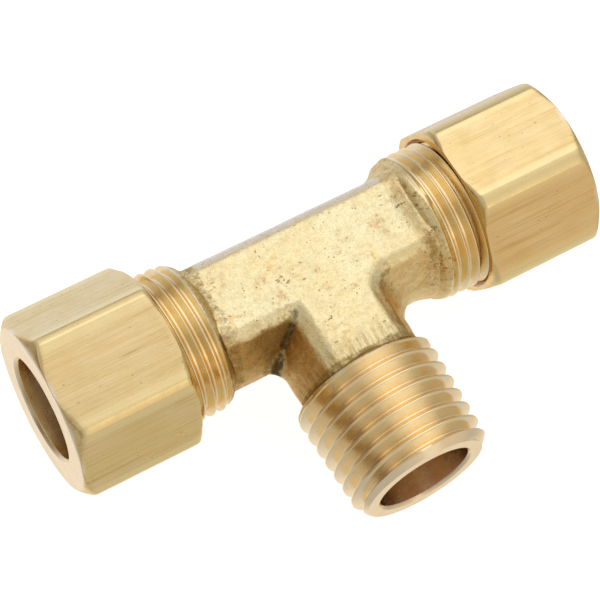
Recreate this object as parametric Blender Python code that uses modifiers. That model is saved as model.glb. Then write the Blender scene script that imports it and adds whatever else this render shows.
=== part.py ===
"""Brass compression tee: two compression ends on the run, male pipe branch.

Frame: run axis along X, branch along -Y, tee plane normal +Z.
Origin: centre of the forged body's rear flat, under the crossing of the run and branch axes.
Units: metres.
"""
import bpy
import bmesh
import math
from mathutils import Matrix, Vector

MM = 0.001

# ---- forged body ---------------------------------------------------------
PAD_HALF_DEPTH = 5.85 * MM        # tee plane to the flat front and rear pads
SECTION = (                       # (height above the tee plane, half width of arm)
    (-5.85, 3.22), (-5.35, 3.98), (-2.75, 5.25), (-1.00, 5.72),
    (1.00, 5.72), (2.75, 5.25), (5.35, 3.98), (5.85, 3.22),
)
INNER_FILLET = 0.9                # mm, crotch radius at the pads
ARM_END = 10.9                    # mm, forged arms end inside the turned shoulders
FORGING_SCALE = MM

# ---- run: 9/16-24 thread for 3/8 in tube ---------------------------------
RUN_PITCH = 25.4 / 24             # mm
RUN_CREST_R = 7.10                # mm
RUN_ROOT_R = 6.47                 # mm
RUN_SHOULDER = 10.05              # mm from the branch axis, where the pad ends
RUN_THREAD_START = 11.25          # mm
RUN_END = 19.10                   # mm
RUN_CREST_PHASE = 0.12            # mm, crest position where the thread faces +Y
TUBE_SOCKET_R = 4.85              # mm, clears 3/8 in tube
TUBE_STOP = 13.50                 # mm
RUN_PASSAGE_R = 3.95              # mm

# ---- branch: 1/4-18 taper pipe thread ------------------------------------
NPT_PITCH = 25.4 / 18             # mm
NPT_CREST_R = 6.93                # mm at NPT_START
NPT_DEPTH = 1.05                  # mm
NPT_SHOULDER = 10.40              # mm
NPT_START = 11.20                 # mm
NPT_TAPER = 1 / 32                # radius per length
NPT_END = 21.56                   # mm
NPT_PHASE = 1.00                  # mm
BRANCH_BORE_R = 4.47              # mm
BRANCH_BORE_END = 8.00            # mm from the run axis
BRANCH_PASSAGE_R = 3.80           # mm

# ---- compression nut -----------------------------------------------------
NUT_ACROSS_FLATS = 15.60          # mm
NUT_CORNER_R = 8.83               # mm, rounded by the drawn bar
NUT_LENGTH = 11.75                # mm
NUT_INNER_FACE_R = 8.00           # mm, flat ring on the threaded end
NUT_INNER_CHAMFER = 0.45          # mm, axial at the corners
NUT_BORE_R = 4.85                 # mm
NUT_WALL = 2.10                   # mm, cylindrical length of the tube bore
NUT_CHAMBER_R = 6.00              # mm, room for the sleeve
NUT_FACE_R = 7.70                 # mm, flat ring on the outer end
THREAD_CLEARANCE = 0.30           # mm radial, nut thread outside body thread
LEFT_NUT_FACE = 26.65             # mm from the branch axis
RIGHT_NUT_FACE = 26.95            # mm
LEFT_NUT_TURN = 16.4              # deg, corner from +Z towards +Y
RIGHT_NUT_TURN = -24.9            # deg

# ---- compression sleeve --------------------------------------------------
SLEEVE_LENGTH = 5.20              # mm
SLEEVE_IN_R = 4.82                # mm
SLEEVE_OUT_R = 5.60               # mm
SLEEVE_TIP_R = 5.10               # mm
LEFT_SLEEVE_START = 18.72         # mm from the branch axis
RIGHT_SLEEVE_START = 18.87        # mm

# ---- faceting ------------------------------------------------------------
THREAD_STEPS = 24
TURN_STEPS = 24
BORE_STEPS = 24
HALF_STEP = math.pi / 24          # turned blanks and thread grooves never share an edge

AXIS_Z = PAD_HALF_DEPTH           # run and branch axes above the rear flat

for ob in list(bpy.data.objects):
    bpy.data.objects.remove(ob, do_unlink=True)

parts = bpy.data.collections.new("compression_tee")
cutters = bpy.data.collections.new("cutters")
bpy.context.scene.collection.children.link(parts)
bpy.context.scene.collection.children.link(cutters)


def brass(name, colour, roughness):
    mat = bpy.data.materials.new(name)
    mat.use_nodes = True
    bsdf = mat.node_tree.nodes["Principled BSDF"]
    bsdf.inputs["Base Color"].default_value = (*colour, 1.0)
    bsdf.inputs["Roughness"].default_value = roughness
    bsdf.inputs["Metallic"].default_value = 1.0
    return mat


FORGED = brass("forged_brass", (0.80, 0.62, 0.32), 0.38)
DRAWN = brass("drawn_brass", (0.84, 0.68, 0.36), 0.28)
TURNED = brass("turned_brass", (0.82, 0.64, 0.34), 0.22)

# Local +Z of a turned piece goes to these world directions.
TO_RIGHT = Matrix(((0, 0, 1, 0), (0, 1, 0, 0), (-1, 0, 0, AXIS_Z), (0, 0, 0, 1)))
TO_LEFT = Matrix(((0, 0, -1, 0), (0, 1, 0, 0), (1, 0, 0, AXIS_Z), (0, 0, 0, 1)))
TO_BRANCH = Matrix(((1, 0, 0, 0), (0, 0, -1, 0), (0, 1, 0, AXIS_Z), (0, 0, 0, 1)))


def add_object(name, mesh, matrix, collection, cutter=False):
    ob = bpy.data.objects.new(name, mesh)
    ob.matrix_world = matrix
    collection.objects.link(ob)
    if cutter:
        ob.hide_render = True
        ob.display_type = "WIRE"
    return ob


def turned(name, profile, matrix, collection=cutters, steps=TURN_STEPS, phase=0.0, ring=False):
    """Solid of revolution about local Z; profile is (radius, height) from top to bottom in mm."""
    mesh = bpy.data.meshes.new(name)
    bm = bmesh.new()
    verts = [bm.verts.new((r * math.cos(phase) * MM, r * math.sin(phase) * MM, h * MM)) for r, h in profile]
    for a, b in zip(verts, verts[1:]):
        bm.edges.new((a, b))
    if ring:
        bm.edges.new((verts[-1], verts[0]))
    bm.to_mesh(mesh)
    bm.free()
    ob = add_object(name, mesh, matrix, collection, cutter=collection is cutters)
    mod = ob.modifiers.new("Turn", "SCREW")
    mod.axis = "Z"
    mod.angle = 2 * math.pi
    mod.steps = steps
    mod.render_steps = steps
    mod.use_merge_vertices = True
    mod.merge_threshold = 0.00001
    mod.use_smooth_shade = True
    return ob


def helix(name, profile, pitch, start, turns, matrix, phase, taper=0.0):
    """Closed helical bar about local Z, right handed.

    profile: corners (radius, height offset) in mm; start: height in mm at which the bar begins;
    phase: height in mm of the bar's middle at local angle 0, modulo the pitch.
    """
    steps = int(round(turns * THREAD_STEPS))
    step_angle = 2 * math.pi / THREAD_STEPS
    first = math.ceil((start - phase) / pitch * THREAD_STEPS)
    angle0 = first * step_angle
    z0 = phase + pitch * first / THREAD_STEPS
    bm = bmesh.new()
    ring = []
    for r, dz in profile:
        ring.append(bm.verts.new((r * math.cos(angle0), r * math.sin(angle0), z0 + dz)))
    edges = [bm.edges.new((ring[i], ring[(i + 1) % len(ring)])) for i in range(len(ring))]
    out = bmesh.ops.spin(
        bm, geom=ring + edges, cent=(0, 0, 0), axis=(0, 0, 1),
        dvec=(0, 0, pitch / THREAD_STEPS), angle=step_angle * steps, steps=steps,
    )
    bmesh.ops.holes_fill(bm, edges=[e for e in bm.edges if e.is_boundary], sides=len(ring))
    bmesh.ops.recalc_face_normals(bm, faces=bm.faces)
    for v in bm.verts:
        if taper:
            flat = Vector((v.co.x, v.co.y, 0.0))
            size = flat.length
            v.co -= flat / size * taper * (v.co.z - NPT_START)
        v.co *= MM
    mesh = bpy.data.meshes.new(name)
    bm.to_mesh(mesh)
    bm.free()
    return add_object(name, mesh, matrix, cutters, cutter=True)


def tee_outline(w, fillet, end):
    """Plan outline of the forging, anticlockwise: run along X, branch to -Y, with filleted crotches."""
    pts = [(-end, w), (-end, -w)]
    for k in range(5):
        a = math.pi / 2 - k * math.pi / 8
        pts.append((-w - fillet + fillet * math.cos(a), -w - fillet + fillet * math.sin(a)))
    pts += [(-w, -end), (w, -end)]
    for k in range(5):
        a = math.pi - k * math.pi / 8
        pts.append((w + fillet + fillet * math.cos(a), -w - fillet + fillet * math.sin(a)))
    pts += [(end, -w), (end, w)]
    return pts


def forged_core():
    """Stack of tee outlines, wide at the parting plane and narrow at the flat pads."""
    bm = bmesh.new()
    layers = []
    for z, w in SECTION:
        fillet = INNER_FILLET + (w - 3.2) * 0.4
        layers.append([bm.verts.new((x * MM, y * MM, z * MM + AXIS_Z)) for x, y in tee_outline(w, fillet, ARM_END)])
    for low, high in zip(layers, layers[1:]):
        for i in range(len(low)):
            j = (i + 1) % len(low)
            bm.faces.new((low[i], low[j], high[j], high[i]))
    bm.faces.new(layers[-1])
    bm.faces.new(list(reversed(layers[0])))
    bmesh.ops.recalc_face_normals(bm, faces=bm.faces)
    mesh = bpy.data.meshes.new("tee_body")
    bm.to_mesh(mesh)
    bm.free()
    return add_object("tee_body", mesh, Matrix.Identity(4), parts)


def boolean(target, tool, operation):
    mod = target.modifiers.new(operation.title() + "_" + tool.name, "BOOLEAN")
    mod.operation = operation
    mod.object = tool
    mod.solver = "EXACT"
    return mod


def finish_part(ob, material):
    ob.data.materials.append(material)
    ob.data.shade_smooth()
    ob.data.set_sharp_from_angle(angle=math.radians(35))


def groove(name, crest_r, root_r, pitch, start, turns, matrix, crest_phase, taper=0.0):
    """60 degree groove between crests that are an eighth of the pitch wide."""
    top = crest_r + 0.085
    half_top = (pitch * 7 / 8) / 2 + 0.085 * math.tan(math.radians(30))
    half_root = (pitch * 7 / 8) / 2 - (crest_r - root_r) * math.tan(math.radians(30))
    profile = ((top, half_top), (root_r, half_root), (root_r, -half_root), (top, -half_top))
    return helix(name, profile, pitch, start, turns, matrix, crest_phase + pitch / 2, taper)


# ---- tee body ------------------------------------------------------------
body = forged_core()
finish_part(body, FORGED)


def local_phase(world_phase, side):
    """Crest height along the outward axis at local angle 0, from the crest's X where the thread faces +Y."""
    # Local X of the right end points to -Z and of the left end to +Z.
    quarter = -RUN_PITCH / 4
    if side > 0:
        return world_phase + quarter
    return -world_phase + quarter


for side, name, matrix in ((1, "right", TO_RIGHT), (-1, "left", TO_LEFT)):
    end = turned("end_" + name, (
        (0, RUN_END), (RUN_CREST_R - 0.75, RUN_END), (RUN_CREST_R, RUN_END - 0.75),
        (RUN_CREST_R, RUN_SHOULDER + 0.85), (RUN_CREST_R - 1.32, RUN_SHOULDER), (4.9, 8.6), (0, 8.6)),
        matrix, phase=HALF_STEP)
    cut = groove("run_groove_" + name, RUN_CREST_R, RUN_ROOT_R, RUN_PITCH, RUN_THREAD_START,
                 (RUN_END - RUN_THREAD_START) / RUN_PITCH + 0.7, matrix, local_phase(RUN_CREST_PHASE, side))
    boolean(end, cut, "DIFFERENCE")
    boolean(body, end, "UNION")

end = turned("end_branch", (
    (0, NPT_END), (5.80, NPT_END), (NPT_CREST_R - (NPT_END - 0.88 - NPT_START) * NPT_TAPER, NPT_END - 0.88),
    (NPT_CREST_R, NPT_START), (NPT_CREST_R - 0.10, NPT_SHOULDER + 0.50), (5.75, NPT_SHOULDER), (4.9, 8.6), (0, 8.6)),
    TO_BRANCH, phase=HALF_STEP)
cut = groove("pipe_groove", NPT_CREST_R, NPT_CREST_R - NPT_DEPTH, NPT_PITCH, NPT_START + 0.3,
             (NPT_END - NPT_START) / NPT_PITCH + 0.5, TO_BRANCH, NPT_PHASE, NPT_TAPER)
boolean(end, cut, "DIFFERENCE")
boolean(body, end, "UNION")

# Run bore: passage, tube sockets and 45 degree sleeve seats in one turned tool.
SEAT_R = TUBE_SOCKET_R + 1.00
bore_half = [(RUN_PASSAGE_R, TUBE_STOP), (TUBE_SOCKET_R, TUBE_STOP), (TUBE_SOCKET_R, RUN_END - 0.9),
             (SEAT_R + 0.6, RUN_END + 0.7)]
run_bore = turned("run_bore",
                  [(0, RUN_END + 0.7)] + [(r, h) for r, h in reversed(bore_half)]
                  + [(r, -h) for r, h in bore_half] + [(0, -RUN_END - 0.7)],
                  TO_RIGHT, steps=BORE_STEPS, phase=math.pi / BORE_STEPS)
boolean(body, run_bore, "DIFFERENCE")
branch_bore = turned("branch_bore", (
    (0, NPT_END + 0.6), (BRANCH_BORE_R + 0.85, NPT_END + 0.6), (BRANCH_BORE_R, NPT_END - 0.25),
    (BRANCH_BORE_R, BRANCH_BORE_END), (BRANCH_PASSAGE_R, BRANCH_BORE_END - 0.4), (BRANCH_PASSAGE_R, 0.35), (0, 0.35)),
    TO_BRANCH, steps=BORE_STEPS, phase=math.pi / BORE_STEPS)
boolean(body, branch_bore, "DIFFERENCE")


# ---- compression nuts ----------------------------------------------------
def nut(name, matrix, face, turn, crest_phase):
    """Hex bar, chamfered on both ends, bored and threaded. Local Z points outward."""
    inner = face - NUT_LENGTH
    hex_bm = bmesh.new()
    across_corners = NUT_ACROSS_FLATS / math.cos(math.pi / 6)
    bmesh.ops.create_cone(hex_bm, cap_ends=True, segments=6, radius1=across_corners / 2, radius2=across_corners / 2,
                          depth=NUT_LENGTH + 2)
    first = next(iter(hex_bm.verts)).co
    lead = math.radians(turn)
    bmesh.ops.rotate(hex_bm, verts=hex_bm.verts, cent=(0, 0, 0),
                     matrix=Matrix.Rotation(lead - math.atan2(first.y, first.x), 3, "Z"))
    bmesh.ops.translate(hex_bm, verts=hex_bm.verts, vec=(0, 0, inner + NUT_LENGTH / 2))
    bmesh.ops.scale(hex_bm, verts=hex_bm.verts, vec=(MM, MM, MM))
    mesh = bpy.data.meshes.new(name)
    hex_bm.to_mesh(mesh)
    hex_bm.free()
    ob = add_object(name, mesh, matrix, parts)
    envelope = turned(name + "_chamfer", (
        (0, face), (NUT_FACE_R, face), (NUT_CORNER_R, face - 0.85), (NUT_CORNER_R, inner + NUT_INNER_CHAMFER),
        (NUT_INNER_FACE_R, inner), (0, inner)),
        matrix, steps=36, phase=lead)
    boolean(ob, envelope, "INTERSECT")
    minor = RUN_ROOT_R + THREAD_CLEARANCE
    cone = face - NUT_WALL
    tool = turned(name + "_bore", (
        (0, face + 0.5), (NUT_BORE_R + 0.85, face + 0.5), (NUT_BORE_R, face - 0.35), (NUT_BORE_R, cone),
        (NUT_CHAMBER_R, cone - (NUT_CHAMBER_R - NUT_BORE_R)), (NUT_CHAMBER_R, cone - 1.9),
        (minor, cone - 2.6), (minor, inner + 0.75), (minor + 1.25, inner - 0.5), (0, inner - 0.5)),
        matrix, steps=BORE_STEPS, phase=HALF_STEP)
    boolean(ob, tool, "DIFFERENCE")
    major = RUN_CREST_R + THREAD_CLEARANCE
    half_major = RUN_PITCH / 16
    low = minor - 0.08
    half_low = half_major + (major - low) * math.tan(math.radians(30))
    ridge = helix(name + "_thread", ((major, half_major), (low, half_low), (low, -half_low), (major, -half_major)),
                  RUN_PITCH, inner - 0.75, (NUT_LENGTH - NUT_WALL - 1.8) / RUN_PITCH, matrix, crest_phase)
    boolean(ob, ridge, "DIFFERENCE")
    finish_part(ob, DRAWN)
    return ob


# Local X of the right nut points to -Z, so a corner at angle t from +Z towards +Y is at 180 - t there.
nut("right_compression_nut", TO_RIGHT, RIGHT_NUT_FACE, 180.0 - RIGHT_NUT_TURN, local_phase(RUN_CREST_PHASE, 1))
nut("left_compression_nut", TO_LEFT, LEFT_NUT_FACE, LEFT_NUT_TURN, local_phase(RUN_CREST_PHASE, -1))


# ---- compression sleeves -------------------------------------------------
def sleeve(name, matrix, start):
    """Barrel-ended ring that slides on the tube between the body seat and the nut seat."""
    stop = start + SLEEVE_LENGTH
    ob = turned(name, (
        (SLEEVE_IN_R, stop), (SLEEVE_TIP_R, stop), (SLEEVE_OUT_R, stop - 1.0),
        (SLEEVE_OUT_R, start + 1.0), (SLEEVE_TIP_R, start), (SLEEVE_IN_R, start)),
        matrix, collection=parts, steps=BORE_STEPS, ring=True)
    ob.data.materials.append(TURNED)
    return ob


sleeve("right_sleeve", TO_RIGHT, RIGHT_SLEEVE_START)
sleeve("left_sleeve", TO_LEFT, LEFT_SLEEVE_START)
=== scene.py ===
import math

import bmesh
import bpy
import numpy as np
from mathutils import Matrix, Vector, noise


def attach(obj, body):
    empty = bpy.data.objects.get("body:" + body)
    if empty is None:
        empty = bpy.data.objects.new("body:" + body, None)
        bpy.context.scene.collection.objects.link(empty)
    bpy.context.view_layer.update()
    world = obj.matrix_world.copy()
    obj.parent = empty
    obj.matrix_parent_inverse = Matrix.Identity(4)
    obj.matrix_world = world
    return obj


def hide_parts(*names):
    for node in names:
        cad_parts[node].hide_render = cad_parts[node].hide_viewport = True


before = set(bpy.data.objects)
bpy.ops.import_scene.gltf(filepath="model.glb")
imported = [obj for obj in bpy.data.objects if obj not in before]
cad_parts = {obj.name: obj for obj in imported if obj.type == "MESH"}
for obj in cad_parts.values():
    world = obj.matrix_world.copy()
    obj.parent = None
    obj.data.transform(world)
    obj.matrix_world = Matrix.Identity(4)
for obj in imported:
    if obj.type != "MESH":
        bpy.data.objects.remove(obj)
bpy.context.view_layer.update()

# Everything is built in millimetres in the row frame and scaled to metres at the end.
MM = 0.001
AXIS_Z = 5.85

# Local +Z of a turned piece points outward along its end.
TO_RIGHT = np.array(((0, 0, 1, 0), (0, 1, 0, 0), (-1, 0, 0, AXIS_Z), (0, 0, 0, 1)), float)
TO_LEFT = np.array(((0, 0, -1, 0), (0, 1, 0, 0), (1, 0, 0, AXIS_Z), (0, 0, 0, 1)), float)
# The branch is turned slightly off the middle of its forging.
BRANCH_X = -0.16
TO_BRANCH = np.array(((1, 0, 0, BRANCH_X), (0, 0, -1, 0), (0, 1, 0, AXIS_Z), (0, 0, 0, 1)), float)

RUN_PITCH = 25.4 / 24
RUN_CREST_R = 7.10
RUN_ROOT_R = 6.45
RUN_END = 19.10
RUN_CREST_PHASE = 0.12
TUBE_SOCKET_R = 4.85
TUBE_STOP = 13.5
RUN_PASSAGE_R = 3.95

NPT_PITCH = 25.4 / 18
NPT_CREST_R = 6.93
NPT_START = 11.2
NPT_TAPER = 1 / 32
NPT_END = 21.56
NPT_PHASE = 1.00
BRANCH_BORE_R = 4.47

NUT_APOTHEM = 15.60 / 2
NUT_LENGTH = 11.75
LEFT_NUT_FACE = 26.65
RIGHT_NUT_FACE = 26.95
LEFT_NUT_TURN = 16.4
RIGHT_NUT_TURN = -24.9


# ---------------------------------------------------------------- mesh tools
def smooth01(t):
    t = np.clip(t, 0.0, 1.0)
    return t * t * (3 - 2 * t)


def fractal(points, scale, seed, octaves=3):
    """Smooth seeded noise about zero at each point; scale is the size of its largest lumps in mm."""
    out = np.empty(len(points))
    shift = Vector((seed * 17.3, seed * 9.1, seed * 5.7))
    for i, p in enumerate(points):
        out[i] = noise.fractal(Vector(p) / scale + shift, 1.0, 2.0, octaves)
    return out


class Shell:
    """Quads collected from structured grids, welded into one mesh."""

    def __init__(self):
        self.verts, self.faces, self.count = [], [], 0

    def grid(self, points, wrap_shift=0):
        """points[column, row] as x, y, z; the last column joins the first, wrap_shift rows further on."""
        cols, rows = points.shape[:2]
        base = self.count
        self.verts.append(points.reshape(-1, 3))
        self.count += cols * rows
        k = np.arange(rows - 1)
        for j in range(cols):
            if j < cols - 1:
                a, b = base + j * rows + k, base + (j + 1) * rows + k
                self.faces.append(np.stack((a, b, b + 1, a + 1), 1))
            else:
                k2 = k[: rows - 1 - wrap_shift]
                a, b = base + j * rows + k2, base + k2 + wrap_shift
                self.faces.append(np.stack((a, b, b + 1, a + 1), 1))

    def mesh(self, name, weld=2e-4):
        me = bpy.data.meshes.new(name)
        me.from_pydata(np.concatenate(self.verts).tolist(), [], np.concatenate(self.faces).tolist())
        bm = bmesh.new()
        bm.from_mesh(me)
        bmesh.ops.remove_doubles(bm, verts=bm.verts, dist=weld)
        bmesh.ops.dissolve_degenerate(bm, edges=bm.edges, dist=weld * 0.5)
        loose = [v for v in bm.verts if not v.link_faces]
        bmesh.ops.delete(bm, geom=loose, context="VERTS")
        ragged = [e for e in bm.edges if not e.is_manifold]
        if ragged:
            raise RuntimeError(f"{name} has {len(ragged)} edges without two faces")
        bmesh.ops.recalc_face_normals(bm, faces=bm.faces)
        bm.to_mesh(me)
        bm.free()
        return me


def place(me, matrix):
    me.transform(Matrix(matrix.tolist()))
    return me


def linked(name, me):
    ob = bpy.data.objects.new(name, me)
    bpy.context.scene.collection.objects.link(ob)
    return ob


def combine(target, tool, operation):
    """Boolean of two closed meshes, applied at once."""
    mod = target.modifiers.new("b", "BOOLEAN")
    mod.operation = operation
    mod.object = tool
    mod.solver = "MANIFOLD"
    bpy.context.view_layer.update()
    dg = bpy.context.evaluated_depsgraph_get()
    made = bpy.data.meshes.new_from_object(target.evaluated_get(dg))
    target.modifiers.clear()
    target.data = made
    bpy.data.objects.remove(tool)


def revolve_rows(profile_h, radius, angles):
    """Grid points for rows at the given heights, radius(theta, h) around local Z."""
    th, h = np.meshgrid(angles, profile_h, indexing="ij")
    r = radius(th, h)
    return np.stack((r * np.cos(th), r * np.sin(th), h), -1)


def helical_rows(h0, h1, pitch, phase, offsets, radius, angles):
    """Rows that follow the thread; the crest stands at h = phase + pitch * theta / 2 pi, modulo the pitch."""
    m = len(offsets)
    first = math.floor((h0 - phase) / pitch) - 2
    last = math.ceil((h1 - phase) / pitch) + 1
    base = np.array([phase + (n * pitch) + o for n in range(first, last + 1) for o in offsets])
    th, b = np.meshgrid(angles, base, indexing="ij")
    h = np.clip(b + pitch * th / (2 * math.pi), h0, h1)
    r = radius(th, h)
    return np.stack((r * np.cos(th), r * np.sin(th), h), -1), m


def turned_shell(shell, profile, angles):
    """Plain turned rows from a list of (radius, height)."""
    pts = np.empty((len(angles), len(profile), 3))
    for k, (r, h) in enumerate(profile):
        pts[:, k, 0] = r * np.cos(angles)
        pts[:, k, 1] = r * np.sin(angles)
        pts[:, k, 2] = h
    shell.grid(pts)


def soft_profile(corners, radius=0.06, steps=3):
    """A profile with each inner corner rounded by a small arc-like blend."""
    out = [corners[0]]
    for a, b, c in zip(corners, corners[1:], corners[2:]):
        a, b, c = np.array(a, float), np.array(b, float), np.array(c, float)
        la, lc = np.linalg.norm(a - b), np.linalg.norm(c - b)
        t = min(radius, la * 0.45, lc * 0.45)
        p, q = b + (a - b) / la * t, b + (c - b) / lc * t
        for s in np.linspace(0, 1, steps + 1):
            out.append(tuple((1 - s) ** 2 * p + 2 * s * (1 - s) * b + s * s * q))
    out.append(corners[-1])
    return out


def crest_distance(h, th, pitch, phase):
    s = (h - phase - pitch * th / (2 * math.pi)) / pitch
    return np.abs(s - np.round(s)) * pitch


def local_phase(world_phase, side):
    quarter = -RUN_PITCH / 4
    return world_phase + quarter if side > 0 else -world_phase + quarter


def surface_net(values, origin, step):
    """Closed quad mesh where a sampled field crosses zero; inside is negative."""
    s = values < 0
    n = sum(s[i:i + s.shape[0] - 1, j:j + s.shape[1] - 1, k:k + s.shape[2] - 1].astype(np.int8)
            for i in (0, 1) for j in (0, 1) for k in (0, 1))
    active = (n > 0) & (n < 8)
    index = -np.ones(active.shape, np.int64)
    index[active] = np.arange(active.sum())
    points = (np.argwhere(active) + 0.5) * step + origin
    quads = []
    for axis in range(3):
        u, v = (axis + 1) % 3, (axis + 2) % 3
        lo = [slice(None)] * 3
        hi = [slice(None)] * 3
        lo[axis], hi[axis] = slice(0, -1), slice(1, None)
        cross = s[tuple(lo)] != s[tuple(hi)]
        where = np.argwhere(cross)
        ok = (where[:, u] > 0) & (where[:, v] > 0) & (where[:, u] < s.shape[u] - 1) & (where[:, v] < s.shape[v] - 1)
        where = where[ok]
        inside_first = s[tuple(where.T)]

        def cell(du, dv):
            c = where.copy()
            c[:, u] += du
            c[:, v] += dv
            return index[tuple(c.T)]

        q = np.stack((cell(-1, -1), cell(0, -1), cell(0, 0), cell(-1, 0)), 1)
        q[~inside_first] = q[~inside_first][:, ::-1]
        quads.append(q)
    return points, np.concatenate(quads)


# ---------------------------------------------------------------- forged tee
FLARE_LEFT = np.array(((8.6, 4.2), (9.6, 5.10), (10.0, 5.46), (10.25, 5.78), (10.5, 6.12), (10.75, 6.42), (11.0, 6.66), (11.5, 6.94), (12.0, 7.07), (12.6, 7.10)))
FLARE_RIGHT = np.array(((8.6, 4.4), (9.3, 5.20), (9.75, 5.62), (10.0, 5.84), (10.25, 6.06), (10.5, 6.28), (10.75, 6.54), (11.0, 6.78), (11.5, 6.97), (12.0, 7.08), (12.6, 7.10)))
NECK = np.array(((8.6, 4.0), (9.7, 5.0), (10.2, 5.48), (10.55, 5.93), (10.88, 6.50), (11.15, 6.80), (11.5, 6.90), (12.0, 6.905)))


def round_union(a, b, k):
    return np.maximum(k, np.minimum(a, b)) - np.hypot(np.maximum(k - a, 0), np.maximum(k - b, 0))


def round_cut(a, b, k):
    return np.minimum(-k, np.maximum(a, b)) + np.hypot(np.maximum(a + k, 0), np.maximum(b + k, 0))


def round_max(a, b, k):
    return np.maximum(a, b) + np.maximum(k - np.abs(a - b), 0) ** 2 / (4 * k)


def arm_section(u, z, half, side, edge):
    """Die-forged arm: a round middle, drafted sides and a bevel up to the flat pad."""
    au, az = np.abs(u), np.abs(z)
    (n1, c1), (n2, c2) = side, edge
    d = round_max(au - half, au * n1[0] + az * n1[1] - c1, 1.1)
    return round_max(d, au * n2[0] + az * n2[1] - c2, 0.22)


def arms(x, y, z):
    run = arm_section(y + 0.22, z, 5.96, ((0.930, 0.3676), 5.88), ((0.565, 0.825), 6.70))
    neck = arm_section(x + 0.02, z, 6.22, ((0.899, 0.439), 5.95), ((0.590, 0.807), 6.50))
    return run, neck


def core_field(p):
    """Signed distance, nearly, to the forging; z is measured from the tee plane."""
    x, y, z = p[:, 0], p[:, 1], p[:, 2]
    run, neck = arms(x, y, z)
    neck = np.maximum(neck, y + 0.5)
    depth = np.clip(np.abs(z) / 5.85, 0, 1)
    left = 0.32 + 1.75 * (1 - smooth01((np.abs(z) - 0.4) / 2.2))
    right = 2.3 - 0.95 * depth ** 2
    k = np.where(x < 0, left, right)
    body = round_union(run, neck, k)
    body = round_cut(body, np.abs(z) - AXIS_Z, 0.16)
    ax = np.abs(x)
    rr = np.hypot(y, z)
    flare_r = np.where(x < 0, np.interp(ax, FLARE_LEFT[:, 0], FLARE_LEFT[:, 1]), np.interp(ax, FLARE_RIGHT[:, 0], FLARE_RIGHT[:, 1]))
    under = 0.45 * smooth01((ax - 10.35) / 0.55)
    flare = (rr - flare_r + under) * 0.77
    flare = np.maximum(flare, 9.0 - ax)
    body = np.maximum(body, ax - 10.9)
    flare = np.maximum(flare, ax - 10.9)
    body = round_union(body, flare, np.where(x < 0, 0.16, 0.85))
    ay = -y
    rb = np.hypot(x - BRANCH_X, z)
    neck_r = np.interp(ay, NECK[:, 0], NECK[:, 1])
    under = 0.5 * smooth01((ay - 10.35) / 0.5)
    collar = (rb - neck_r + under) * 0.7
    collar = np.maximum(np.maximum(collar, 9.0 - ay), ay - 10.85)
    body = np.maximum(body, ay - 10.85)
    return round_union(body, collar, 0.22)


def field_gradient(p, e=0.02):
    g = np.empty_like(p)
    for a in range(3):
        d = np.zeros(3)
        d[a] = e
        g[:, a] = (core_field(p + d) - core_field(p - d)) / (2 * e)
    return g


def forged_core():
    step = 0.14
    lo = np.array((-11.2, -11.2, -7.4))
    hi = np.array((11.2, 7.4, 7.4))
    n = np.ceil((hi - lo) / step).astype(int) + 1
    axes = [lo[a] + step * np.arange(n[a]) for a in range(3)]
    gx, gy, gz = np.meshgrid(*axes, indexing="ij")
    values = core_field(np.stack((gx.ravel(), gy.ravel(), gz.ravel()), 1)).reshape(gx.shape)
    points, quads = surface_net(values, lo, step)
    edges = np.unique(np.sort(np.concatenate((quads[:, (0, 1)], quads[:, (1, 2)], quads[:, (2, 3)], quads[:, (3, 0)])), 1), axis=0)
    degree = np.bincount(edges.ravel(), minlength=len(points))[:, None]
    for turn in range(7):
        g = field_gradient(points)
        f = core_field(points)
        points = points - (f / np.maximum((g ** 2).sum(1), 0.05))[:, None] * g
        if turn < 4:
            total = np.zeros_like(points)
            np.add.at(total, edges[:, 0], points[edges[:, 1]])
            np.add.at(total, edges[:, 1], points[edges[:, 0]])
            points = points * 0.5 + total / degree * 0.5
    g = field_gradient(points)
    g /= np.linalg.norm(g, axis=1)[:, None]
    # Die-forged skin: long waves, short lumps and scattered shallow dents.
    pad = smooth01((np.abs(points[:, 2]) - 5.2) / 0.5)
    waves = fractal(points, 4.5, 1, 2)
    lumps = fractal(points, 1.3, 2, 3)
    grain = fractal(points, 0.45, 3, 2)
    rough = 0.45 + 0.55 * smooth01((np.hypot(points[:, 0], points[:, 1]) - 5.0) / 4.0)
    lift = waves * 0.035 + lumps * (0.022 * pad + 0.040 * (1 - pad)) * rough + grain * 0.008
    right_shoulder = smooth01((points[:, 0] - 7.6) / 1.6) * smooth01((points[:, 2] + 2) / 4)
    lift += right_shoulder * (lumps * 0.008 + grain * 0.016)
    points = points + g * lift[:, None]
    points[:, 2] += AXIS_Z
    me = bpy.data.meshes.new("tee_core")
    me.from_pydata(points.tolist(), [], quads.tolist())
    me.validate()
    return me


TURN = np.linspace(0, 2 * math.pi, 241)[:-1]


def thread_offsets(pitch, half_crest, half_root):
    mid = [half_crest + (half_root - half_crest) * t for t in (0.1, 0.3, 0.5, 0.7, 0.9)]
    right = [half_crest * 0.75, half_crest * 1.25] + mid + [half_root, (half_root + pitch / 2) / 2]
    return [0.0] + right + [pitch / 2] + [pitch - r for r in reversed(right)]


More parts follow.
